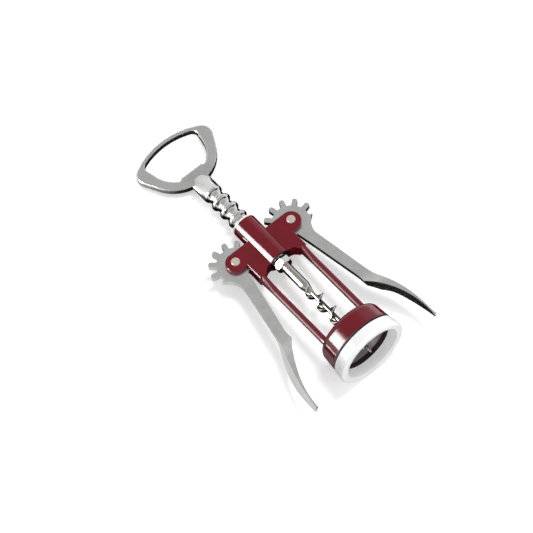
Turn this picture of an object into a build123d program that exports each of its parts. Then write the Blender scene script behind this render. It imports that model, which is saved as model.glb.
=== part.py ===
"""Wing corkscrew, lying on its back.

Frame: the corkscrew axis runs along Y. The bell mouth faces -Y, with its
centre at the origin, and the key head is at the +Y end. The two levers
swing in the XY plane about Z. All sizes are in millimetres.
"""
import os
from math import acos, atan2, cos, degrees, hypot, radians, sin, sqrt, tan

from build123d import *

# ------------------------------------------------------------ clearances
RUNNING_GAP = 0.06          # radial, between a turning part and its bore
FREE_GAP = 0.25             # between moving parts that only pass each other
TOOTH_TIP_GAP = 0.35        # sector tooth tips to the rack's groove floors
SECTOR_GAP = 0.4            # sector tooth tips to the ends of the fork slots

# ------------------------------------------- neck ring (white plastic seat)
RING_OUTER_DIA = 42.2       # at the mouth
RING_PROUD = 0.2            # how far the ring stands out beyond the bell
RING_HEIGHT = 6.9
RING_SEAT_DEPTH = 5.5       # depth of the tapered lead-in for the bottle lip
RING_MOUTH_DIA = 33.6       # lead-in diameter at the mouth
RING_EDGE_R = 1.4           # rounding of the outer mouth edge
RING_LEAD_R = 0.5           # rounding of the inner mouth edge

# ---------------------------------------------------------------- bell
NECK_BORE_DIA = 30.4        # takes a standard 29.5 mm wine bottle lip
BELL_OUTER_DIA = 39.9       # at the neck ring
BELL_FLARE = 0.85           # how much smaller the radius is at the shoulder
SPIGOT_STEP = 2.0           # reduced skirt that the neck ring is pushed over
BELL_TOP_Y = 20.2
BELL_SHOULDER_R = 3.8
LIP_STOP_Y = 15.6           # inner ledge that stops the bottle lip
CORK_HOLE_DIA = 24.4        # the cork rises through this into the window

# --------------------------------------------------------------- posts
POST_DIA = 4.0
POST_SPACING = 27.3         # centre to centre
FORK_THICKNESS = 8.6        # the two ear plates and the slot between them
POST_TAPER_START_Y = 60.6   # the round post ends here
POST_TAPER_END_Y = 70.9     # the full fork thickness starts here

# ---------------------------------------------------- barrel and ears
PIVOT_HALF_SPACING = 19.2
PIVOT_Y = 87.0
EAR_R = 5.6
BARREL_OUTER_DIA = 14.2
BARREL_BOTTOM_Y = 74.0
BARREL_TOP_Y = 103.2
BARREL_EDGE_R = 0.3
WINDOW_CORNER_R = 5.0
EAR_EDGE_R = 0.7

# -------------------------------------------- rack and gear sectors
RACK_PITCH = 6.96
RACK_GROOVES = 7
RACK_TOP_GROOVE_Y = 125.9
RACK_CREST_R = 5.85
BEAD_ROUND = 0.4            # how far the bead arcs stand above their shoulders
GROOVE_MOUTH_HALF = 2.4     # half the width where the bead rounds over

GEAR_TOOTH_ANGLE = 30.2     # degrees between sector teeth
GEAR_TIP_R = 14.65
GEAR_ROOT_R = 10.5
TOOTH_WIDTH = 2.9
TOOTH_TIP_ROUND = 1.1
SECTOR_HEEL_R = 12.5        # corner where the toothed sector ends
SECTOR_HEEL_ANGLE = -15.0
HEEL_WAIST_R = 10.8
HEEL_FOOT = 13.9            # where the heel runs out along the arm
LEVER_HUB_R = 7.9

# --------------------------------------------------------------- levers
LEVER_THICKNESS = 3.1
LEVER_SPLAY = 10.6          # degrees off the axis in the rest pose
ARM_WIDTH_ROOT = 6.8
ARM_WIDTH_END = 6.0
ARM_LENGTH = 45.4           # pivot to where the arm widens into the paddle
ARM_FLAT_LENGTH = 15.5      # the arm stays flat this far, inside the fork slot
ARM_OVERLAP = 9.0           # how far the arm runs on inside the paddle
PADDLE_LENGTH = 90.2        # pivot to the tip of the paddle, along the axis
PADDLE_HALF_WIDTH = 4.7
PADDLE_CANT = 11.0          # degrees that the paddle's lower edge leans outwards
PADDLE_TIP_OUT = 21.5       # how far the tip stands out from the pivot
PADDLE_TIP_IN = 20.4
TIP_DROP = 5.0              # how far the tip lies below the lever's plane
PADDLE_OUTER_BEND = (16.1, -59.0)   # the outer face passes these, from the pivot
PADDLE_OUTER_BACK = (19.8, -71.0)
PADDLE_INNER_STEP = (6.6, -54.0)    # the inner face steps out past these
PADDLE_INNER_BEND = (12.8, -61.6)
PADDLE_INNER_BACK = (17.1, -71.6)
SCOOP_R = 11.0              # hollow of the thumb face across the paddle
SCOOP_START = (11.3, -57.6)
SCOOP_MIDDLE = (18.2, -70.6)
RIVET_DIA = 3.2
RIVET_HEAD_DIA = 4.8
RIVET_HEAD_HEIGHT = 1.0
RIVET_EDGE_R = 0.35

# ------------------------------------------------------------ guide bush
BUSH_FLANGE_DIA = 13.6
BUSH_FLANGE_HEIGHT = 1.3
BUSH_WALL = 0.6
BUSH_DEPTH = 4.5
BUSH_EDGE_R = 0.45

# --------------------------------------------------------------- key head
NECK_DIA = 11.4
NECK_BLEND_START_Y = 129.6  # the round neck starts to flatten into the plate
NECK_BLEND_END_Y = 144.0
NECK_FOOT_WIDTH = 11.8      # width of the neck where it has sunk into the plate
NECK_FOOT_SUNK = 0.5        # how far its end lies below the plate's faces
HEAD_THICKNESS = 4.2
HEAD_CENTRE_Y = 161.5
HEAD_LOWER_R = 22.9
HEAD_CORNER_R = 6.5
HEAD_CORNER_X = 18.5
HEAD_TOP_Y = 173.0
HEAD_TOP_R = 43.6
LOOP_CENTRE_Y = 160.8
LOOP_LOWER_R = 16.8
LOOP_CORNER_R = 3.8
LOOP_CORNER_X = 14.0
LOOP_RIM = 2.4              # rim width at the far end of the loop
LIFT_EDGE_Y = 146.6         # flat lower side of the opening
SILL_CORNER_R = 1.2
LIFT_TONGUE_HALF = 8.2
LIFT_TONGUE_HEIGHT = 0.9
HEAD_EDGE_R = 0.8

# ------------------------------------------------------------------ worm
RACK_END_Y = 74.3           # plain end of the rack, where the collar starts
RACK_END_DIA = 9.8
COLLAR_FLATS = 8.8
COLLAR_HEIGHT = 5.2
COLLAR_TURN = 20
SHANK_DIA = 5.75
SHANK_END_Y = 53.8
WORM_OUTER_DIA = 8.1
WORM_CORE_DIA = 2.3
WORM_PITCH = 10.1
WORM_TIP_Y = 1.4
WORM_RIM_THICKNESS = 0.9
WORM_ROOT_THICKNESS = 1.9
WORM_TAPER = 11.3           # length of the pointed end
WORM_LEFT_CREST_Y = 38.3    # a thread crest faces the left-hand lever here
CORE_SEAM_TURN = 200        # keeps the seam of the turned core off the thread
TANG_DIA = 4.0
TANG_LENGTH = 13.0          # through the collar and into the rack

# ---------------------------------------- sizes that follow from the above
BELL_R = BELL_OUTER_DIA / 2
SPIGOT_R = BELL_R - SPIGOT_STEP
POST_R = POST_DIA / 2
POST_X = POST_SPACING / 2
SLOT_HALF = LEVER_THICKNESS / 2 + FREE_GAP
EAR_TOP_Z = FORK_THICKNESS / 2
GEAR_PITCH_R = RACK_PITCH / radians(GEAR_TOOTH_ANGLE)
RACK_ROOT_R = PIVOT_HALF_SPACING - GEAR_TIP_R - TOOTH_TIP_GAP
BEAD_SHOULDER_R = RACK_CREST_R - BEAD_ROUND
BARREL_BORE_R = RACK_CREST_R + FREE_GAP
BUSH_BORE_R = RACK_CREST_R + RUNNING_GAP
BUSH_SLEEVE_R = BUSH_BORE_R + BUSH_WALL


# ------------------------------------------------------------ helpers
def turned(outline):
    """Revolve a closed outline of (radius, y) points about the Y axis."""
    face = make_face(Polyline(*outline, close=True))
    return revolve(face, Axis.Y, 360)


def rod(radius, y0, y1, x=0.0, z=0.0):
    """A round rod along Y from y0 to y1."""
    plane = Plane((x, y0, z), x_dir=(1, 0, 0), z_dir=(0, 1, 0))
    return extrude(plane * Circle(radius), y1 - y0)


def pivot_disc(side, radius, z0, z1):
    """A disc about one lever pivot, between two heights."""
    centre = (side * PIVOT_HALF_SPACING, PIVOT_Y, z0)
    return extrude(Plane(centre) * Circle(radius), z1 - z0)


def mirrored(shape):
    return mirror(shape, about=Plane.YZ)


# -------------------------------------------------------------- frame
def bell():
    """Domed bell with a bottle bore, a lip stop and a spigot for the ring."""
    shoulder_r = BELL_R - BELL_FLARE
    crown_r = shoulder_r - BELL_SHOULDER_R
    shoulder_y = BELL_TOP_Y - BELL_SHOULDER_R
    mid = BELL_SHOULDER_R * sin(radians(45))
    skirt = Polyline(
        (0, BELL_TOP_Y), (0, RING_SEAT_DEPTH), (SPIGOT_R, RING_SEAT_DEPTH),
        (SPIGOT_R, RING_HEIGHT), (BELL_R, RING_HEIGHT), (shoulder_r, shoulder_y))
    dome = ThreePointArc(
        (shoulder_r, shoulder_y), (crown_r + mid, shoulder_y + mid), (crown_r, BELL_TOP_Y))
    crown = Line((crown_r, BELL_TOP_Y), (0, BELL_TOP_Y))
    body = revolve(make_face(Curve() + [skirt, dome, crown]), Axis.Y, 360)
    body -= rod(NECK_BORE_DIA / 2, RING_SEAT_DEPTH - 1, LIP_STOP_Y)
    return body - rod(CORK_HOLE_DIA / 2, LIP_STOP_Y - 1, BELL_TOP_Y + 1)


def post():
    """Round post that swells to the full fork thickness under the ears."""
    round_part = rod(POST_R, LIP_STOP_Y + 1, POST_TAPER_START_Y, POST_X)
    low = Plane((POST_X, POST_TAPER_START_Y, 0), x_dir=(1, 0, 0), z_dir=(0, 1, 0))
    high = Plane((POST_X, POST_TAPER_END_Y, 0), x_dir=(1, 0, 0), z_dir=(0, 1, 0))
    swell = loft([low * Circle(POST_R), high * Ellipse(POST_R, EAR_TOP_Z)])
    return round_part + swell


def ear_outline():
    """Plan outline of the ears, the yoke and the tops of the two posts."""
    yoke = Pos(0, (POST_TAPER_END_Y + PIVOT_Y) / 2) * Rectangle(
        2 * (POST_X + POST_R), PIVOT_Y - POST_TAPER_END_Y)
    bar = Pos(0, PIVOT_Y) * Rectangle(2 * PIVOT_HALF_SPACING, 2 * EAR_R)
    ends = [Pos(s * PIVOT_HALF_SPACING, PIVOT_Y) * Circle(EAR_R) for s in (-1, 1)]
    return yoke + bar + ends[0] + ends[1]


def window_top():
    """Rounded top of the window between the posts."""
    height = BARREL_BOTTOM_Y - POST_TAPER_START_Y + WINDOW_CORNER_R
    shape = RectangleRounded(2 * (POST_X - POST_R), height, WINDOW_CORNER_R)
    return Pos(0, BARREL_BOTTOM_Y - height / 2) * shape


def frame():
    """One casting: bell, two posts, fork ears and the barrel."""
    ears = extrude(ear_outline(), EAR_TOP_Z, both=True)
    ears -= extrude(window_top(), EAR_TOP_Z + 1, both=True)
    long_edges = ears.faces().filter_by(Axis.Z).edges()
    ears = fillet(long_edges, EAR_EDGE_R)
    barrel = rod(BARREL_OUTER_DIA / 2, BARREL_BOTTOM_Y, BARREL_TOP_Y)
    rim = barrel.faces().sort_by(Axis.Y)[-1].edges()
    barrel = fillet(rim, BARREL_EDGE_R)
    body = bell() + [post(), mirrored(post()), ears, barrel]
    body -= rod(BARREL_BORE_R, BARREL_BOTTOM_Y - 1, BARREL_TOP_Y + 1)
    body -= rod(
        BUSH_SLEEVE_R + RUNNING_GAP,
        BARREL_TOP_Y - BUSH_DEPTH - FREE_GAP, BARREL_TOP_Y + 1)
    for side in (-1, 1):
        body -= pivot_disc(side, GEAR_TIP_R + SECTOR_GAP, -SLOT_HALF, SLOT_HALF)
        body -= pivot_disc(side, RIVET_DIA / 2, -EAR_TOP_Z, EAR_TOP_Z)
    return body


# ---------------------------------------------------------- neck ring
def neck_ring():
    """White plastic ring: tapered seat inside, rounded mouth edge."""
    outline = Polyline(
        (RING_MOUTH_DIA / 2, 0),
        (RING_OUTER_DIA / 2, 0),
        (BELL_R + RING_PROUD, RING_HEIGHT),
        (SPIGOT_R, RING_HEIGHT),
        (SPIGOT_R, RING_SEAT_DEPTH),
        (NECK_BORE_DIA / 2, RING_SEAT_DEPTH),
        close=True,
    )
    ring = revolve(make_face(outline), Axis.Y, 360)
    mouth = ring.faces().sort_by(Axis.Y)[0]
    ring = fillet(mouth.edges().sort_by(lambda e: e.length)[-1], RING_EDGE_R)
    mouth = ring.faces().sort_by(Axis.Y)[0]
    return fillet(mouth.edges().sort_by(lambda e: e.length)[0], RING_LEAD_R)


# ---------------------------------------------------------- guide bush
def guide_bush():
    """Flanged plastic bush in the mouth of the barrel, turning with the key."""
    flange = BUSH_FLANGE_DIA / 2
    top = BARREL_TOP_Y + BUSH_FLANGE_HEIGHT
    ring = turned([
        (BUSH_BORE_R, BARREL_TOP_Y - BUSH_DEPTH),
        (BUSH_SLEEVE_R, BARREL_TOP_Y - BUSH_DEPTH),
        (BUSH_SLEEVE_R, BARREL_TOP_Y + RUNNING_GAP),
        (flange, BARREL_TOP_Y + RUNNING_GAP),
        (flange, top),
        (BUSH_BORE_R, top),
    ])
    rim = ring.faces().sort_by(Axis.Y)[-1].edges().sort_by(lambda e: e.length)[-1]
    return fillet(rim, BUSH_EDGE_R)


# ------------------------------------------------------------- levers
def tooth(angle):
    """One long rounded sector tooth pointing along the given angle."""
    start = GEAR_ROOT_R - 3
    length = GEAR_TIP_R - start
    finger = Pos(start + length / 2, 0) * Rectangle(length, TOOTH_WIDTH)
    finger = fillet(finger.vertices().group_by(Axis.X)[-1], TOOTH_TIP_ROUND)
    return Rot(0, 0, angle) * finger


def tooth_angles():
    """Angles of the right-hand sector's teeth, in mesh with the rack grooves."""
    grooves = [RACK_TOP_GROOVE_Y - k * RACK_PITCH for k in range(RACK_GROOVES)]
    return [180 - degrees((y - PIVOT_Y) / GEAR_PITCH_R) for y in grooves]


def polar(radius, angle):
    return (radius * cos(radians(angle)), radius * sin(radians(angle)))


def sector():
    """Toothed sector about the origin, relieved towards the arm."""
    angles = tooth_angles()
    last = angles[-1] + GEAR_TOOTH_ANGLE / 2
    first = SECTOR_HEEL_ANGLE
    middle = (last + 360 + first) / 2
    relief = make_face(Polyline(
        (0, 0), polar(40, last), polar(60, middle), polar(40, first + 360), close=True))
    outline = Sketch() + (Circle(GEAR_ROOT_R) - relief) + Circle(LEVER_HUB_R)
    for angle in angles:
        outline += tooth(angle)
    return outline


def arm_edges(reach):
    """Inner and outer edge points of the arm at a distance from the pivot."""
    half = (ARM_WIDTH_ROOT + (ARM_WIDTH_END - ARM_WIDTH_ROOT) * reach / ARM_LENGTH) / 2
    splay = radians(LEVER_SPLAY)
    x, y = reach * sin(splay), -reach * cos(splay)
    across = (half * cos(splay), half * sin(splay))
    return (x - across[0], y - across[1]), (x + across[0], y + across[1])


def arm():
    """Straight tapering arm with the heel that ends the toothed sector."""
    root_in, root_out = arm_edges(0)
    end_in, end_out = arm_edges(ARM_LENGTH + ARM_OVERLAP)
    bar = make_face(Polyline(root_in, root_out, end_out, end_in, close=True))
    corner = polar(SECTOR_HEEL_R, SECTOR_HEEL_ANGLE)
    foot = arm_edges(HEEL_FOOT)[1]
    middle = polar(HEEL_WAIST_R, (SECTOR_HEEL_ANGLE + LEVER_SPLAY - 90) / 2)
    heel = make_face(Curve() + [
        Line((0, 0), corner), ThreePointArc(corner, middle, foot), Line(foot, (0, 0))])
    return bar + heel


def paddle_side():
    """Side profile of the thumb paddle, from the arm to the tip."""
    inset = LEVER_THICKNESS / 2 * tan(radians(PADDLE_CANT))
    root_in, root_out = arm_edges(ARM_LENGTH)
    root_in = (root_in[0] + inset, root_in[1])
    root_out = (root_out[0] - inset, root_out[1])
    tip_out = (PADDLE_TIP_OUT, 1.5 - PADDLE_LENGTH)
    tip_in = (PADDLE_TIP_IN, 1.4 - PADDLE_LENGTH)
    tip = ((PADDLE_TIP_OUT + PADDLE_TIP_IN) / 2, -PADDLE_LENGTH)
    along = (sin(radians(LEVER_SPLAY)), -cos(radians(LEVER_SPLAY)))
    back = (-along[0], -along[1])
    outer = Spline(
        root_out, PADDLE_OUTER_BEND, PADDLE_OUTER_BACK, tip_out, tangents=(along, (0.02, -1)))
    inner = Spline(
        tip_in, PADDLE_INNER_BACK, PADDLE_INNER_BEND, PADDLE_INNER_STEP, root_in,
        tangents=((-0.12, 1), back))
    return make_face(Curve() + [
        outer, ThreePointArc(tip_out, tip, tip_in), inner, Line(root_in, root_out)])


def drop(reach):
    """How far the lever's middle lies below its flat part, at a distance from the pivot."""
    return TIP_DROP * (reach - ARM_FLAT_LENGTH) / (PADDLE_LENGTH - ARM_FLAT_LENGTH)


def lever_front():
    """Outline of the lever seen square on: flat band, sloping arm and wide paddle."""
    half = LEVER_THICKNESS / 2
    wide = PADDLE_HALF_WIDTH
    length = PADDLE_LENGTH - ARM_LENGTH

    def edge(reach, offset):
        return (-reach, offset - drop(reach))

    def paddle(side):
        shape = ((0.13, 0.5), (0.33, 0.94), (0.55, 0.98), (0.925, 0.55))
        points = [edge(ARM_LENGTH + share * length, side * part * wide) for share, part in shape]
        return Spline(
            edge(ARM_LENGTH, side * half), *points, edge(PADDLE_LENGTH, 0),
            tangents=((-1, 0), (0, -side)))

    band = Polyline(
        edge(ARM_LENGTH, half), edge(ARM_FLAT_LENGTH, half), (2 * GEAR_TIP_R, half),
        (2 * GEAR_TIP_R, -half), edge(ARM_FLAT_LENGTH, -half), edge(ARM_LENGTH, -half))
    face = make_face(Curve() + [band, paddle(1), paddle(-1)])
    return Plane((0, 0, 0), x_dir=(0, 1, 0), z_dir=(1, 0, 0)) * face


def scoop():
    """Ring-shaped cutter that hollows the thumb face along and across."""
    end = (PADDLE_TIP_IN + 0.5, 1.0 - PADDLE_LENGTH)
    floor = ThreePointArc(SCOOP_START, SCOOP_MIDDLE, end)
    centre = floor.arc_center
    reach = -SCOOP_MIDDLE[1]
    slope = degrees(atan2(TIP_DROP, PADDLE_LENGTH - ARM_FLAT_LENGTH))
    ring = Pos(centre.X, centre.Y + reach, 0) * Torus(floor.radius - SCOOP_R, SCOOP_R)
    return Pos(0, -reach, -drop(reach)) * Rot(slope, 0, 0) * ring


def right_lever():
    """Lever with its gear sector, sloping arm and canted, scooped thumb paddle."""
    depth = TIP_DROP + PADDLE_HALF_WIDTH + 1
    cant = radians(PADDLE_CANT)
    root = Pos(0, 0, -drop(ARM_LENGTH)) * paddle_side()
    lever = extrude(sector() + arm(), depth, both=True)
    lever += extrude(root, depth, dir=(-sin(cant), 0, cos(cant)), both=True)
    lever &= extrude(lever_front(), 2 * PADDLE_TIP_OUT, both=True)
    lever -= scoop()
    lever -= Pos(0, 0, -depth) * extrude(Circle(RIVET_DIA / 2 + RUNNING_GAP), 2 * depth)
    return Pos(PIVOT_HALF_SPACING, PIVOT_Y, 0) * lever


def rivet(side):
    """Pivot rivet: a shank through both ears with a head at each end."""
    shape = pivot_disc(side, RIVET_DIA / 2, -EAR_TOP_Z, EAR_TOP_Z)
    for z in (EAR_TOP_Z, -EAR_TOP_Z - RIVET_HEAD_HEIGHT):
        shape += pivot_disc(side, RIVET_HEAD_DIA / 2, z, z + RIVET_HEAD_HEIGHT)
    ends = shape.faces().sort_by(Axis.Z)
    return fillet(ends[0].edges() + ends[-1].edges(), RIVET_EDGE_R)


# ------------------------------------------------------------ key
def rack():
    """Ring-toothed rack: rounded beads between equally spaced grooves."""
    lines = []
    bottom = RACK_TOP_GROOVE_Y - (RACK_GROOVES - 1) * RACK_PITCH
    for k in range(RACK_GROOVES):
        y = bottom + k * RACK_PITCH
        lines.append(ThreePointArc(
            (BEAD_SHOULDER_R, y - GROOVE_MOUTH_HALF),
            (RACK_ROOT_R, y),
            (BEAD_SHOULDER_R, y + GROOVE_MOUTH_HALF)))
        if k < RACK_GROOVES - 1:
            lines.append(ThreePointArc(
                (BEAD_SHOULDER_R, y + GROOVE_MOUTH_HALF),
                (RACK_CREST_R, y + RACK_PITCH / 2),
                (BEAD_SHOULDER_R, y + RACK_PITCH - GROOVE_MOUTH_HALF)))
    end_r = RACK_END_DIA / 2
    neck_r = NECK_DIA / 2
    top = RACK_TOP_GROOVE_Y + GROOVE_MOUTH_HALF
    low = bottom - GROOVE_MOUTH_HALF
    lines.append(Polyline(
        (BEAD_SHOULDER_R, low), (end_r, low - 1.6), (end_r, RACK_END_Y), (0, RACK_END_Y),
        (0, NECK_BLEND_START_Y), (neck_r, NECK_BLEND_START_Y), (neck_r, top + 0.8),
        (BEAD_SHOULDER_R, top)))
    return revolve(make_face(Curve() + lines), Axis.Y, 360)


def neck():
    """Neck that flattens from the round rack into the plate of the key head."""
    thickness = HEAD_THICKNESS - 2 * NECK_FOOT_SUNK
    low = Plane((0, NECK_BLEND_START_Y, 0), x_dir=(1, 0, 0), z_dir=(0, 1, 0))
    high = Plane((0, NECK_BLEND_END_Y, 0), x_dir=(1, 0, 0), z_dir=(0, 1, 0))
    foot = RectangleRounded(NECK_FOOT_WIDTH, thickness, thickness / 2.2)
    return loft([low * Circle(NECK_DIA / 2), high * foot])


def shield(arch_r, corner_x, corner_r, bowl_r, bowl_y):
    """Low arch over a round bowl, joined by tangent corners and short flanks."""
    arch_y = HEAD_TOP_Y - HEAD_TOP_R
    reach = arch_r - corner_r
    corner_y = arch_y + sqrt(reach ** 2 - corner_x ** 2)
    scale = arch_r / reach
    shoulder = (corner_x * scale, arch_y + (corner_y - arch_y) * scale)
    rise = corner_y - bowl_y
    lean = atan2(rise, corner_x) - acos((bowl_r - corner_r) / hypot(corner_x, rise))
    cx, cy = cos(lean), sin(lean)
    flank_top = (corner_x + corner_r * cx, corner_y + corner_r * cy)
    flank_low = (bowl_r * cx, bowl_y + bowl_r * cy)
    middle = (atan2(corner_y - arch_y, corner_x) + lean) / 2
    side = (corner_x + corner_r * cos(middle), corner_y + corner_r * sin(middle))

    def left(point):
        return (-point[0], point[1])

    return make_face(Curve() + [
        ThreePointArc(left(shoulder), (0, arch_y + arch_r), shoulder),
        ThreePointArc(shoulder, side, flank_top),
        Line(flank_top, flank_low),
        ThreePointArc(flank_low, (0, bowl_y - bowl_r), left(flank_low)),
        Line(left(flank_low), left(flank_top)),
        ThreePointArc(left(flank_top), left(side), left(shoulder))])


def loop_outline():
    """Finger and cap opening with the raised lifting tongue."""
    arch_r = HEAD_TOP_R - LOOP_RIM
    opening = shield(arch_r, LOOP_CORNER_X, LOOP_CORNER_R, LOOP_LOWER_R, LOOP_CENTRE_Y)
    opening -= Pos(0, LIFT_EDGE_Y - 20) * Rectangle(60, 40)
    opening = fillet(opening.vertices().group_by(Axis.Y)[0], SILL_CORNER_R)
    tongue = Pos(0, LIFT_EDGE_Y) * Trapezoid(
        2 * LIFT_TONGUE_HALF, 2 * LIFT_TONGUE_HEIGHT, 60)
    return opening - tongue


def key():
    """Key head, neck and rack: one casting."""
    head = shield(HEAD_TOP_R, HEAD_CORNER_X, HEAD_CORNER_R, HEAD_LOWER_R, HEAD_CENTRE_Y)
    plate = extrude(head - loop_outline(), HEAD_THICKNESS / 2, both=True)
    rims = plate.faces().filter_by(Axis.Z).edges()
    plate = fillet(rims, HEAD_EDGE_R)
    body = plate + [rack(), neck()]
    return body - rod(TANG_DIA / 2, RACK_END_Y, RACK_END_Y + TANG_LENGTH - COLLAR_HEIGHT)


# ----------------------------------------------------------- worm
def thread():
    """Right-hand helical thread on a thin core, trimmed to a pointed end."""
    height = SHANK_END_Y - WORM_TIP_Y
    root, rim = WORM_CORE_DIA / 4, WORM_OUTER_DIA / 2
    path = Helix(WORM_PITCH, height, rim)
    section = Plane.XZ * make_face(Polyline(
        (root, -WORM_ROOT_THICKNESS / 2), (rim, -WORM_RIM_THICKNESS / 2),
        (rim, WORM_RIM_THICKNESS / 2), (root, WORM_ROOT_THICKNESS / 2), close=True))
    blade = sweep(section, path=path, is_frenet=True)
    turn = 161 - 360 * (WORM_LEFT_CREST_Y - WORM_TIP_Y) / WORM_PITCH
    blade = Pos(0, WORM_TIP_Y, 0) * Rot(-90, 0, 0) * Rot(0, 0, turn) * blade
    over = rim + 1
    point = turned([
        (0.3, WORM_TIP_Y - 2), (0.3, WORM_TIP_Y), (rim + 0.05, WORM_TIP_Y + WORM_TAPER),
        (over, WORM_TIP_Y + WORM_TAPER), (over, WORM_TIP_Y - 2)])
    runout = turned([
        (rim + 0.05, SHANK_END_Y - 8), (SHANK_DIA / 2 - 0.4, SHANK_END_Y - 1.5),
        (0.3, SHANK_END_Y - 1.5), (0.3, SHANK_END_Y + 3), (over, SHANK_END_Y + 3),
        (over, SHANK_END_Y - 8)])
    return blade - point - runout


def worm():
    """Tang, plain shank, tapering core and the thread."""
    shank, core, tang = SHANK_DIA / 2, WORM_CORE_DIA / 2, TANG_DIA / 2
    collar_y = RACK_END_Y - COLLAR_HEIGHT
    core_part = turned([
        (0, WORM_TIP_Y), (0.3, WORM_TIP_Y), (core, WORM_TIP_Y + WORM_TAPER / 2),
        (core, SHANK_END_Y - 6), (shank, SHANK_END_Y), (shank, collar_y), (tang, collar_y),
        (tang, collar_y + TANG_LENGTH), (0, collar_y + TANG_LENGTH)])
    return Rot(0, CORE_SEAM_TURN, 0) * core_part + thread()


def worm_collar():
    """Hexagonal collar that locks the worm against the end of the rack."""
    base = Plane((0, RACK_END_Y - COLLAR_HEIGHT, 0), x_dir=(1, 0, 0), z_dir=(0, 1, 0))
    prism = extrude(
        base * RegularPolygon(COLLAR_FLATS / 2, 6, major_radius=False, rotation=COLLAR_TURN),
        COLLAR_HEIGHT)
    corner_r = COLLAR_FLATS / 2 / cos(radians(30))
    top, low = RACK_END_Y, RACK_END_Y - COLLAR_HEIGHT
    barrel = turned([
        (TANG_DIA / 2, low), (corner_r - 0.7, low), (corner_r, low + 0.8),
        (corner_r, top - 0.8), (corner_r - 0.7, top), (TANG_DIA / 2, top)])
    return prism & barrel


# --------------------------------------------------------------- build
def main():
    os.makedirs("parts", exist_ok=True)
    parts = {
        "frame": frame(),
        "neck_ring": neck_ring(),
        "guide_bush": guide_bush(),
        "key": key(),
        "worm": worm(),
        "worm_collar": worm_collar(),
        "lever_right": right_lever(),
        "lever_left": mirrored(right_lever()),
        "rivet_right": rivet(1),
        "rivet_left": rivet(-1),
    }
    for name, shape in parts.items():
        shape.label = name
        export_step(shape, f"parts/{name}.step")


if __name__ == "__main__":
    main()
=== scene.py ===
"""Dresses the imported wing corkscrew: a finish for every part, and a small white studio."""
import math

import bpy
from bpy.props import FloatProperty, FloatVectorProperty, PointerProperty
from mathutils import Matrix, Vector

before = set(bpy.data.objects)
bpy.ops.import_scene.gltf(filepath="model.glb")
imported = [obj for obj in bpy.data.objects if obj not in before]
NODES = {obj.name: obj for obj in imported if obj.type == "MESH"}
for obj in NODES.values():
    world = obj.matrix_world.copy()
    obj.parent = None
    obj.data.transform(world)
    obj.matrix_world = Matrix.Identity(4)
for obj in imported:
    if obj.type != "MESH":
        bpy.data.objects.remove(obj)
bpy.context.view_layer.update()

bl_info = {
    "name": "Wing Corkscrew Dresser",
    "version": (1, 0, 0),
    "blender": (4, 5, 0),
    "location": "View3D > Sidebar > Corkscrew",
    "description": "Finishes the wing corkscrew's parts and sets up its studio",
    "category": "Object",
}

# Places on the corkscrew: stretches along its axis from the mouth of the bell, out to a
# radius from the axis, in metres.
BELL = dict(Start=0.0, End=0.0212, Soft=0.001)
POSTS = dict(Start=0.0215, End=0.070, Soft=0.003)
BELL_BORE = dict(Start=-0.01, End=0.0212, Radius=0.0157)
RING_SEAM = dict(Start=-0.01, End=0.0080, Soft=0.0007)
BARREL_BORE = dict(Start=0.0730, End=0.0742, Radius=0.0076)
RACK = dict(Start=0.060, End=0.128, Radius=0.0070, Soft=0.003)
KEY_NECK = dict(Start=0.130, End=0.146, Radius=0.0080, Soft=0.003)

# Roughness of those places, where it isn't a setting.
BELL_BORE_ROUGH = 0.35
RING_SEAM_ROUGH = 0.8
BARREL_BORE_ROUGH = 0.5
RACK_ROUGH = 0.14
KEY_NECK_ROUGH = 0.20

# Height of the grain in the relief of each finish, in metres.
ENAMEL_RELIEF = 0.000003
PLASTIC_RELIEF = 0.000008
PLATE_RELIEF = 0.0000012
WORM_RELIEF = 0.000003
BRIGHT_RELIEF = 0.000008
RIVET_RELIEF = 0.000008

# How much of the worn tint, and of the painted shade in hollows, shows where its mask is
# full.
ENAMEL_WEAR = 0.25
PLATE_WEAR = 0.5
METAL_HOLLOW_SHADE = 0.9

# Spans of a noise or a pointiness that become a mask from 0 to 1.
GRAIN_SPAN = (0.40, 0.60)
PATCH_SPAN = (0.35, 0.65)
HOLLOW_SPAN = (0.485, 0.42)
CORNER_SPAN = (0.515, 0.57)

# How far the turning lines waver from even rings.
LINE_DISTORTION = 0.6

# Spans of a direction's part along an axis, for the room seen in the shine and for its
# low light on the mouth of the bell.
ROOM_LOW = (0.60, 0.35)
ROOM_FRONT = (-0.30, -0.65)
ROOM_OVERHEAD = (0.55, 0.75)
MOUTH_LOW = (0.6, 0.3)
MOUTH_FRONT = (-0.3, -0.9)

# Stage, in metres: the point it is built about, the floor and the glowing sheet above it
# that paints shade and a pale reflection into the metal, and the lamps with the direction
# they hang in.
MIDDLE = Vector((0, 0.08, 0))
FLOOR_HALF = 0.9
REFLECTION_SHEET_ABOVE_FLOOR = 0.0008
REFLECTION_SHEET_DARK_FROM = -0.016
SIDE_LAMP = dict(toward=(-0.877, 0.358, 0.36), away=0.7, size=(0.20, 0.62))
TOP_LAMP = dict(toward=(0.26, -0.05, 0.96), away=0.9, size=(0.24, 0.24))
CLIP_END = 10.0

# Brightness of the glowing sheet where it paints shade, and the width of the camera's sensor
# in mm.
REFLECTION_SHEET_DARK = 0.004
SENSOR_MM = 36.0

# Layout of the nodes in the shader editor.
NODES_PER_ROW = 8
NODE_STEP = (180, -240)


# ---------------------------------------------------------------- settings
def colour(name, description, default):
    return FloatVectorProperty(
        name=name, description=description, default=default, size=3,
        subtype="COLOR", min=0.0, max=1.0)


def share(name, description, default):
    return FloatProperty(
        name=name, description=description, default=default,
        subtype="FACTOR", min=0.0, max=1.0)


def strength(name, description, default):
    return FloatProperty(name=name, description=description, default=default, min=0.0)


def length(name, description, default):
    return FloatProperty(
        name=name, description=description, default=default, unit="LENGTH")


def angle(name, description, default_degrees):
    return FloatProperty(
        name=name, description=description, default=math.radians(default_degrees),
        subtype="ANGLE")


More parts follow.
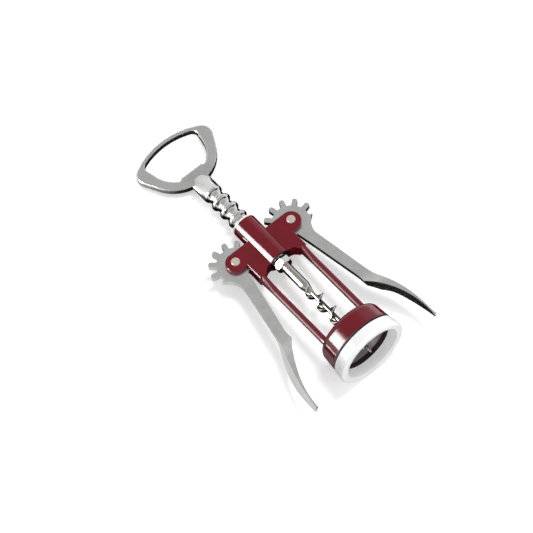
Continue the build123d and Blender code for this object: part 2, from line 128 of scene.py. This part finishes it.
class CorkscrewFinish(bpy.types.PropertyGroup):
    """Colours and sheen of the corkscrew's finishes."""
    enamel: colour("Enamel", "Stove enamel on the frame", (0.146, 0.0026, 0.0094))
    enamel_deep: colour(
        "Deep enamel", "Enamel where it lies thicker", (0.120, 0.0018, 0.0072))
    bell_roughness: share("Bell roughness", "Sheen of the enamel on the bell", 0.12)
    post_roughness: share("Post roughness", "Duller enamel on the two posts", 0.42)
    # Painted shade: this dark tint fills the ring seam, the face round the barrel's bore and
    # the hollows of the metal parts.
    grease: colour("Grease", "Dark grease in the seams and crevices", (0.018, 0.006, 0.008))
    bell_inside: colour("Inside of the bell", "Bare metal in the bell", (0.27, 0.23, 0.25))
    enamel_roughness: share("Enamel roughness", "Sheen of the enamel", 0.07)
    ring: colour("Neck ring", "Moulded plastic of the neck ring", (0.88, 0.88, 0.89))
    bush: colour("Guide bush", "Moulded plastic of the guide bush", (0.86, 0.83, 0.79))
    plate: colour("Plate", "Satin plate on the levers and the key", (0.90, 0.90, 0.89))
    plate_roughness: share("Plate roughness", "Sheen of the satin plate", 0.26)
    steel: colour("Worm steel", "Turned steel of the worm", (0.72, 0.68, 0.62))
    bright: colour("Bright plate", "Polished plate on the collar", (0.84, 0.84, 0.84))
    rivet: colour("Rivet", "Nickelled rivet heads", (0.80, 0.69, 0.60))


class CorkscrewStudio(bpy.types.PropertyGroup):
    """Camera, lamps and floor."""
    azimuth: angle("View azimuth", "Turn of the camera about the vertical", -34.361)
    elevation: angle("View elevation", "Height of the camera", 60.908)
    roll: angle("View roll", "Roll of the camera about its own axis", -6.868)
    distance: length("View distance", "Camera to the point it looks at", 1.2)
    target: FloatVectorProperty(
        name="View target", description="The point the camera looks at",
        default=(-0.007439, 0.076069, 0.0), size=3, subtype="XYZ", unit="LENGTH")
    lens: FloatProperty(
        name="Lens", description="Focal length on a 36 mm sensor", default=153.84,
        unit="CAMERA")
    tilt: angle("Lie", "How far the key head drops when the bell rests", 6.4)
    drop: length("Floor depth", "Axis to the floor along the floor's normal", 0.02116)
    floor: colour("Floor", "Paper sweep under the corkscrew", (0.74, 0.74, 0.74))
    floor_lift: colour("Floor lift", "What lifts the paper to white", (0.42, 0.42, 0.42))
    # Painted reflection: the sheet paints the floor's shade, and a pale glow at its left,
    # into the metal's reflections.
    card_width: length("Card width", "Dark card that draws dark edges on the metal", 0.130)
    card_pale: share("Card edge", "Brightness of the card's pale left side", 0.60)
    card_pale_from: length("Card pale from", "How far to the left the card is pale", 0.034)
    card_length: length("Card length", "The card along the corkscrew", 0.200)
    room: share("Room", "Soft light from all around", 0.54)
    room_front: strength("Front light", "Low soft light on the bell's mouth", 2.0)
    side_watts: strength("Side lamp", "Strength of the lamp in the shine", 9.4)
    top_watts: strength("Top lamp", "Strength of the lamp overhead", 4.4)
    panel: share("Panel", "Brightness of the overhead panel in reflections", 0.42)
    gloom: share("Gloom", "Brightness of the dark far wall in reflections", 0.02)
    wall: share("Wall", "Brightness of the pale walls in reflections", 0.75)


# ---------------------------------------------------- shader node helpers
class Tree:
    """Places nodes and joins them by socket name."""

    def __init__(self, tree):
        self.tree = tree
        self.count = 0

    def add(self, kind, **values):
        node = self.tree.nodes.new(kind)
        self.count += 1
        row, column = divmod(self.count, NODES_PER_ROW)
        node.location = (NODE_STEP[0] * column, NODE_STEP[1] * row)
        for key, value in values.items():
            setattr(node, key, value)
        return node

    def link(self, source, target):
        self.tree.links.new(source, target)

    def put(self, socket, value):
        """Join a socket to another, or give it a plain value."""
        if isinstance(value, bpy.types.NodeSocket):
            self.link(value, socket)
        else:
            socket.default_value = value

    def noise(self, vector, scale, detail=3.0, roughness=0.5):
        node = self.add("ShaderNodeTexNoise")
        self.link(vector, node.inputs["Vector"])
        self.put(node.inputs["Scale"], scale)
        node.inputs["Detail"].default_value = detail
        node.inputs["Roughness"].default_value = roughness
        return node.outputs["Fac"]

    def spread(self, value, low, high, out_low=0.0, out_high=1.0):
        """Map a span of values to another, held at its ends."""
        node = self.add("ShaderNodeMapRange")
        self.put(node.inputs["Value"], value)
        self.put(node.inputs["From Min"], low)
        self.put(node.inputs["From Max"], high)
        self.put(node.inputs["To Min"], out_low)
        self.put(node.inputs["To Max"], out_high)
        return node.outputs["Result"]

    def reckon(self, operation, a, b):
        node = self.add("ShaderNodeMath", operation=operation)
        self.put(node.inputs[0], a)
        self.put(node.inputs[1], b)
        return node.outputs[0]

    def blend(self, factor, a, b):
        """Mix two colours."""
        node = self.add("ShaderNodeMix", data_type="RGBA")
        self.put(node.inputs["Factor"], factor)
        for socket, value in ((node.inputs[6], a), (node.inputs[7], b)):
            self.put(
                socket, value if isinstance(value, bpy.types.NodeSocket) else (*value, 1))
        return node.outputs[2]

    def object_place(self):
        return self.add("ShaderNodeTexCoord").outputs["Object"]

    def pointiness(self):
        return self.add("ShaderNodeNewGeometry").outputs["Pointiness"]


def group(name, inputs, outputs):
    """A shader node group with named float or colour sockets."""
    tree = bpy.data.node_groups.new(name, "ShaderNodeTree")
    for label, value in inputs.items():
        is_colour = isinstance(value, tuple)
        socket = tree.interface.new_socket(
            label, in_out="INPUT",
            socket_type="NodeSocketColor" if is_colour else "NodeSocketFloat")
        socket.default_value = (*value, 1) if is_colour else value
    for label, kind in outputs.items():
        tree.interface.new_socket(label, in_out="OUTPUT", socket_type=kind)
    build = Tree(tree)
    return build, build.add("NodeGroupInput").outputs, build.add("NodeGroupOutput").inputs


def shared(make):
    """Build a node group on first use, and give the same one after that."""
    name = make.__name__.replace("_", " ").title()

    def get():
        if name not in bpy.data.node_groups:
            make(name)
        return bpy.data.node_groups[name]
    return get


@shared
def surface_grain(name):
    """Fine grain over slow cloudy variation, as cast, moulded or plated skins have."""
    build, given, out = group(
        name,
        {"Grain per m": 2500.0, "Cloud per m": 90.0, "Colour A": (1.0, 1.0, 1.0),
         "Colour B": (0.8, 0.8, 0.8), "Rough A": 0.3, "Rough B": 0.4},
        {"Color": "NodeSocketColor", "Roughness": "NodeSocketFloat",
         "Height": "NodeSocketFloat"})
    place = build.object_place()
    grain = build.noise(place, given["Grain per m"], 4.0, 0.6)
    cloud = build.noise(place, given["Cloud per m"], 3.0, 0.55)
    mixed = build.reckon("MULTIPLY", build.reckon("ADD", grain, cloud), 0.5)
    factor = build.spread(mixed, *GRAIN_SPAN)
    build.link(build.blend(factor, given["Colour A"], given["Colour B"]), out["Color"])
    build.link(
        build.spread(factor, 0.0, 1.0, given["Rough A"], given["Rough B"]),
        out["Roughness"])
    build.link(grain, out["Height"])


@shared
def crevice_grime(name):
    """A mask in hollows and along inner corners, where shade is painted into the colour."""
    build, given, out = group(name, {"Amount": 0.5}, {"Hollow shade": "NodeSocketFloat"})
    hollow = build.spread(build.pointiness(), *HOLLOW_SPAN)
    build.link(build.reckon("MULTIPLY", hollow, given["Amount"]), out["Hollow shade"])


@shared
def edge_wear(name):
    """A mask on corners that hands rub, broken up by noise."""
    build, given, out = group(
        name, {"Patch per m": 260.0, "Amount": 0.5}, {"Wear": "NodeSocketFloat"})
    corner = build.spread(build.pointiness(), *CORNER_SPAN)
    patch = build.spread(
        build.noise(build.object_place(), given["Patch per m"]), *PATCH_SPAN)
    wear = build.reckon("MULTIPLY", corner, patch)
    build.link(build.reckon("MULTIPLY", wear, given["Amount"]), out["Wear"])


@shared
def turning_lines(name):
    """Fine rings about the corkscrew's axis, as a lathe leaves."""
    build, given, out = group(
        name, {"Lines per m": 2600.0, "Waver per m": 400.0}, {"Height": "NodeSocketFloat"})
    place = build.object_place()
    wave = build.add("ShaderNodeTexWave", bands_direction="Y")
    build.link(place, wave.inputs["Vector"])
    build.link(given["Lines per m"], wave.inputs["Scale"])
    wave.inputs["Distortion"].default_value = LINE_DISTORTION
    soft = build.noise(place, given["Waver per m"])
    build.link(build.reckon("MULTIPLY", wave.outputs["Fac"], soft), out["Height"])


@shared
def zone_mask(name):
    """A mask on a stretch along the corkscrew's axis, out to a radius from it."""
    build, given, out = group(
        name, {"Start": 0.0, "End": 0.1, "Radius": 1.0, "Soft": 0.0004},
        {"Mask": "NodeSocketFloat"})
    place = build.object_place()
    along = build.add("ShaderNodeSeparateXYZ")
    build.link(place, along.inputs[0])
    flat = build.add("ShaderNodeVectorMath", operation="MULTIPLY")
    build.link(place, flat.inputs[0])
    flat.inputs[1].default_value = (1, 0, 1)
    off = build.add("ShaderNodeVectorMath", operation="LENGTH")
    build.link(flat.outputs["Vector"], off.inputs[0])

    def up_to(value, limit):
        end = build.reckon("ADD", given[limit], given["Soft"])
        return build.spread(value, given[limit], end, 1.0, 0.0)

    past = build.reckon("SUBTRACT", 1.0, up_to(along.outputs["Y"], "Start"))
    within = build.reckon("MULTIPLY", past, up_to(along.outputs["Y"], "End"))
    build.link(
        build.reckon("MULTIPLY", within, up_to(off.outputs["Value"], "Radius")),
        out["Mask"])


def use(build, tree, **values):
    """Place a node group in a material, with its own values."""
    node = build.add("ShaderNodeGroup", node_tree=tree)
    for label, value in values.items():
        socket = node.inputs[label.replace("_", " ")]
        build.put(socket, (*value, 1) if isinstance(value, tuple) else value)
    return node.outputs


def grain(per_m, cloud_per_m, roughs, colours):
    """Values for the surface grain, between two roughnesses and two colours."""
    return dict(
        Grain_per_m=per_m, Cloud_per_m=cloud_per_m, Colour_A=colours[0],
        Colour_B=colours[1], Rough_A=roughs[0], Rough_B=roughs[1])


def finish(name, skin, relief, metallic=0.0, lines=False, wear=None, hollow_shade=None, zones=()):
    """One finish: grain drives colour, roughness and bump, wear shows at corners, painted
    shade darkens hollows, and each zone is a place on the part with a colour and a roughness
    of its own; the colours of the ring seam and the barrel's bore are painted shade."""
    material = bpy.data.materials.new(name)
    material.use_nodes = True
    build = Tree(material.node_tree)
    shader = build.tree.nodes["Principled BSDF"].inputs
    shader["Metallic"].default_value = metallic
    surface = use(build, surface_grain(), **skin)
    base, rough, height = surface["Color"], surface["Roughness"], surface["Height"]
    if wear:
        amount, worn = wear
        base = build.blend(use(build, edge_wear(), Amount=amount)["Wear"], base, worn)
    # Painted shade: hollows take a dark tint in place of their shade and dark reflections.
    if hollow_shade:
        amount, shade_tint = hollow_shade
        base = build.blend(use(build, crevice_grime(), Amount=amount)["Hollow shade"], base, shade_tint)
    for place, tint, dullness in zones:
        mask = use(build, zone_mask(), **place)["Mask"]
        base = build.blend(mask, base, tint) if tint else base
        rough = build.spread(mask, 0.0, 1.0, rough, dullness)
    if lines:
        height = build.reckon("ADD", height, use(build, turning_lines())["Height"])
    build.link(base, shader["Base Color"])
    build.link(rough, shader["Roughness"])
    bump = build.add("ShaderNodeBump")
    bump.inputs["Strength"].default_value = 1.0
    bump.inputs["Distance"].default_value = relief
    build.link(height, bump.inputs["Height"])
    build.link(bump.outputs["Normal"], shader["Normal"])
    return material


def shade(value, factor):
    """The same colour, lighter or darker."""
    return tuple(min(channel * factor, 1.0) for channel in value)


def coat(material, slot, *names):
    """Give CAD nodes a finish."""
    for name in names:
        node = NODES[name]
        node.data.materials.clear()
        node.data.materials.append(material)


# ----------------------------------------------------------------- pieces
class CORKSCREW_OT_frame(bpy.types.Operator):
    """Stove-enamel the bell, posts, ears and barrel"""
    bl_idname = "corkscrew.frame"
    bl_label = "Frame"

    def execute(self, context):
        kit = context.scene.corkscrew_finish
        rough, grease = kit.enamel_roughness, tuple(kit.grease)
        enamel = finish(
            "burgundy_enamel",
            grain(per_m=700.0, cloud_per_m=60.0, roughs=(rough, rough * 1.6),
                  colours=(tuple(kit.enamel), tuple(kit.enamel_deep))),
            relief=ENAMEL_RELIEF, wear=(ENAMEL_WEAR, shade(kit.enamel, 1.7)),
            zones=(
                (BELL, None, kit.bell_roughness),
                (POSTS, None, kit.post_roughness),
                (BELL_BORE, tuple(kit.bell_inside), BELL_BORE_ROUGH),
                # Painted shade: a near-black band on the bell where it meets the neck ring.
                (RING_SEAM, grease, RING_SEAM_ROUGH),
                # Painted shade: the barrel's lower end face round the bore is tinted dark.
                (BARREL_BORE, grease, BARREL_BORE_ROUGH)))
        coat(enamel, "burgundy_enamel", "frame")
        return {"FINISHED"}


class CORKSCREW_OT_mouldings(bpy.types.Operator):
    """Give the neck ring and the guide bush their moulded plastic"""
    bl_idname = "corkscrew.mouldings"
    bl_label = "Neck ring and guide bush"

    def execute(self, context):
        kit = context.scene.corkscrew_finish
        for node, slot, tint in (
                ("neck_ring", "white_plastic", tuple(kit.ring)),
                ("guide_bush", "cream_plastic", tuple(kit.bush))):
            plastic = finish(
                slot,
                grain(per_m=1800.0, cloud_per_m=70.0, roughs=(0.28, 0.36),
                      colours=(tint, shade(tint, 0.96))),
                relief=PLASTIC_RELIEF)
            coat(plastic, slot, node)
        return {"FINISHED"}


class CORKSCREW_OT_plated(bpy.types.Operator):
    """Satin-plate the key and the two levers"""
    bl_idname = "corkscrew.plated"
    bl_label = "Key and levers"

    def execute(self, context):
        kit = context.scene.corkscrew_finish
        tint, rough = tuple(kit.plate), kit.plate_roughness
        plate = finish(
            "satin_metal",
            grain(per_m=900.0, cloud_per_m=110.0, roughs=(rough * 0.85, rough * 1.15),
                  colours=(tint, shade(tint, 0.86))),
            relief=PLATE_RELIEF, metallic=1.0, wear=(PLATE_WEAR, shade(tint, 1.15)),
            # Painted shade in the hollows of the key and levers.
            hollow_shade=(METAL_HOLLOW_SHADE, tuple(kit.grease)),
            zones=((RACK, None, RACK_ROUGH), (KEY_NECK, None, KEY_NECK_ROUGH)))
        coat(plate, "satin_metal", "key", "lever_left", "lever_right")
        return {"FINISHED"}


class CORKSCREW_OT_worm(bpy.types.Operator):
    """Finish the worm, its collar and the rivets"""
    bl_idname = "corkscrew.worm"
    bl_label = "Worm, collar and rivets"

    def execute(self, context):
        kit = context.scene.corkscrew_finish
        steel, bright, rivet = tuple(kit.steel), tuple(kit.bright), tuple(kit.rivet)
        turned = finish(
            "worm_steel",
            grain(per_m=1500.0, cloud_per_m=180.0, roughs=(0.10, 0.16),
                  colours=(steel, shade(steel, 0.82))),
            relief=WORM_RELIEF, metallic=1.0, lines=True,
            # Painted shade in the hollows of the worm.
            hollow_shade=(METAL_HOLLOW_SHADE, tuple(kit.grease)))
        coat(turned, "worm_steel", "worm")
        polished = finish(
            "bright_metal",
            grain(per_m=1200.0, cloud_per_m=200.0, roughs=(0.08, 0.14),
                  colours=(bright, shade(bright, 0.9))),
            relief=BRIGHT_RELIEF, metallic=1.0)
        coat(polished, "bright_metal", "worm_collar")
        nickelled = finish(
            "rivet_metal",
            grain(per_m=1400.0, cloud_per_m=300.0, roughs=(0.25, 0.38),
                  colours=(rivet, shade(rivet, 0.85))),
            relief=RIVET_RELIEF, metallic=0.6)
        coat(nickelled, "rivet_metal", "rivet_left", "rivet_right")
        return {"FINISHED"}


# ----------------------------------------------------------------- studio
def stage_plane(name, half_x, half_y, matrix, material):
    """A flat sheet that belongs to the stage and not to the corkscrew."""
    corners = [(-half_x, -half_y, 0), (half_x, -half_y, 0), (half_x, half_y, 0),
               (-half_x, half_y, 0)]
    mesh = bpy.data.meshes.new(name)
    mesh.from_pydata([matrix @ Vector(c) for c in corners], [], [(0, 1, 2, 3)])
    mesh.materials.append(material)
    sheet = bpy.data.objects.new(name, mesh)
    bpy.context.scene.collection.objects.link(sheet)
    return sheet


def soft_box(name, watts, toward, away, size, diffuse=True, glossy=True):
    """An area lamp that hangs in a given direction and faces the corkscrew."""
    lamp = bpy.data.lights.new(name, "AREA")
    lamp.shape = "RECTANGLE"
    lamp.size, lamp.size_y = size
    lamp.energy = watts
    box = bpy.data.objects.new(name, lamp)
    bpy.context.scene.collection.objects.link(box)
    direction = Vector(toward).normalized()
    box.location = MIDDLE + direction * away
    box.rotation_euler = direction.to_track_quat("Z", "Y").to_euler()
    box.visible_diffuse, box.visible_glossy = diffuse, glossy


def bare_material(name):
    """A material without its first shader, and the surface socket that waits for one."""
    material = bpy.data.materials.new(name)
    material.use_nodes = True
    build = Tree(material.node_tree)
    build.tree.nodes.remove(build.tree.nodes["Principled BSDF"])
    return material, build, build.tree.nodes["Material Output"].inputs["Surface"]


def paper(tint, raised):
    """White paper, lifted to white for the camera and in shiny or clear parts."""
    material, build, surface = bare_material("studio_paper")
    paths = build.add("ShaderNodeLightPath").outputs
    diffuse = build.add("ShaderNodeBsdfDiffuse")
    diffuse.inputs["Color"].default_value = (*tint, 1)
    lift = build.add("ShaderNodeEmission")
    seen = build.reckon("MAXIMUM", paths["Is Camera Ray"], paths["Is Glossy Ray"])
    build.link(
        build.reckon("MAXIMUM", seen, paths["Is Transmission Ray"]),
        lift.inputs["Strength"])
    lift.inputs["Color"].default_value = (*raised, 1)
    both = build.add("ShaderNodeAddShader")
    build.link(diffuse.outputs[0], both.inputs[0])
    build.link(lift.outputs[0], both.inputs[1])
    build.link(both.outputs[0], surface)
    return material


def painted_reflection_sheet(pale_from, pale):
    """Glowing sheet seen only in reflections: painted shade on its dark part, and a painted
    pale reflection towards the left.
    """
    material, build, surface = bare_material("painted_reflection_glow")
    across = build.add("ShaderNodeSeparateXYZ")
    build.link(build.object_place(), across.inputs[0])
    glow = build.add("ShaderNodeEmission")
    build.link(
        build.spread(across.outputs["X"], -pale_from, REFLECTION_SHEET_DARK_FROM, pale, REFLECTION_SHEET_DARK),
        glow.inputs["Strength"])
    build.link(glow.outputs[0], surface)
    return material


def room_light(kit):
    """White to the camera, soft light to matt surfaces, and a studio to shiny ones."""
    world = bpy.data.worlds.new("studio_room")
    bpy.context.scene.world = world
    world.use_nodes = True
    build = Tree(world.node_tree)
    back = build.tree.nodes["Background"]
    paths = build.add("ShaderNodeLightPath").outputs
    axes = build.add("ShaderNodeSeparateXYZ")
    build.link(build.add("ShaderNodeTexCoord").outputs["Generated"], axes.inputs[0])
    front, up = axes.outputs["Y"], axes.outputs["Z"]
    overhead = build.spread(up, *ROOM_OVERHEAD)
    pale = build.spread(overhead, 0.0, 1.0, kit.wall, kit.panel)
    far_wall = build.reckon(
        "MULTIPLY", build.spread(up, *ROOM_LOW), build.spread(front, *ROOM_FRONT))
    shine = build.spread(far_wall, 0.0, 1.0, pale, kit.gloom)
    mouth = build.reckon(
        "MULTIPLY", build.spread(front, *MOUTH_FRONT), build.spread(up, *MOUTH_LOW))
    matt = build.spread(mouth, 0.0, 1.0, kit.room, kit.room_front)
    seen = build.spread(paths["Is Glossy Ray"], 0.0, 1.0, matt, shine)
    clear = build.reckon("MAXIMUM", paths["Is Camera Ray"], paths["Is Transmission Ray"])
    build.link(build.blend(clear, seen, (1, 1, 1)), back.inputs["Color"])
    back.inputs["Strength"].default_value = 1.0


class CORKSCREW_OT_studio(bpy.types.Operator):
    """Lay the floor, hang the lamps and set the camera"""
    bl_idname = "corkscrew.studio"
    bl_label = "Studio"

    def execute(self, context):
        kit = context.scene.corkscrew_studio
        lie = Matrix.Rotation(kit.tilt, 4, "X") @ Matrix.Translation((0, 0, -kit.drop))
        floor_place = lie @ Matrix.Translation(MIDDLE)
        stage_plane(
            "floor", FLOOR_HALF, FLOOR_HALF, floor_place,
            paper(tuple(kit.floor), tuple(kit.floor_lift)))
        # Painted shade and painted reflection: an unlit glowing sheet just above the floor,
        # seen only in the metal's reflections.
        reflection_sheet = stage_plane(
            "painted_reflection_sheet", kit.card_width / 2, kit.card_length / 2,
            floor_place @ Matrix.Translation((0, 0, REFLECTION_SHEET_ABOVE_FLOOR)),
            painted_reflection_sheet(kit.card_pale_from, kit.card_pale))
        reflection_sheet.visible_camera = reflection_sheet.visible_diffuse = reflection_sheet.visible_shadow = False
        room_light(kit)
        soft_box("lamp_side", kit.side_watts, **SIDE_LAMP, diffuse=False)
        soft_box("lamp_top", kit.top_watts, **TOP_LAMP, glossy=False)
        self.set_camera(context, kit)
        context.scene.view_settings.view_transform = "Standard"
        return {"FINISHED"}

    def set_camera(self, context, kit):
        az, el = kit.azimuth, kit.elevation
        back = Vector((
            math.sin(az) * math.cos(el), -math.cos(az) * math.cos(el), math.sin(el)))
        right = Vector((math.cos(az), math.sin(az), 0))
        up = back.cross(right)
        turn = Matrix((right, up, back)).transposed() @ Matrix.Rotation(kit.roll, 3, "Z")
        lens = bpy.data.cameras.new("camera")
        lens.sensor_width = SENSOR_MM
        lens.lens = kit.lens
        lens.clip_end = CLIP_END
        camera = bpy.data.objects.new("camera", lens)
        camera.matrix_world = Matrix.Translation(
            Vector(kit.target) + back * kit.distance) @ turn.to_4x4()
        context.scene.collection.objects.link(camera)
        context.scene.camera = camera


# ------------------------------------------------------------------ panel
PIECES = (CORKSCREW_OT_frame, CORKSCREW_OT_mouldings, CORKSCREW_OT_plated,
          CORKSCREW_OT_worm, CORKSCREW_OT_studio)


class CORKSCREW_PT_panel(bpy.types.Panel):
    """Settings and steps of the corkscrew"""
    bl_label = "Wing corkscrew"
    bl_idname = "CORKSCREW_PT_panel"
    bl_space_type = "VIEW_3D"
    bl_region_type = "UI"
    bl_category = "Corkscrew"

    def draw(self, context):
        for kit in (context.scene.corkscrew_finish, context.scene.corkscrew_studio):
            box = self.layout.box()
            for name in kit.bl_rna.properties.keys():
                if name not in {"rna_type", "name"}:
                    box.prop(kit, name)
        for piece in PIECES:
            self.layout.operator(piece.bl_idname)


CLASSES = (CorkscrewFinish, CorkscrewStudio, *PIECES, CORKSCREW_PT_panel)


def register():
    for item in CLASSES:
        bpy.utils.register_class(item)
    bpy.types.Scene.corkscrew_finish = PointerProperty(type=CorkscrewFinish)
    bpy.types.Scene.corkscrew_studio = PointerProperty(type=CorkscrewStudio)


def unregister():
    del bpy.types.Scene.corkscrew_studio
    del bpy.types.Scene.corkscrew_finish
    for item in reversed(CLASSES):
        bpy.utils.unregister_class(item)


def main():
    register()
    for step in (bpy.ops.corkscrew.frame, bpy.ops.corkscrew.mouldings,
                 bpy.ops.corkscrew.plated, bpy.ops.corkscrew.worm, bpy.ops.corkscrew.studio):
        step()


if __name__ == "__main__":
    main()
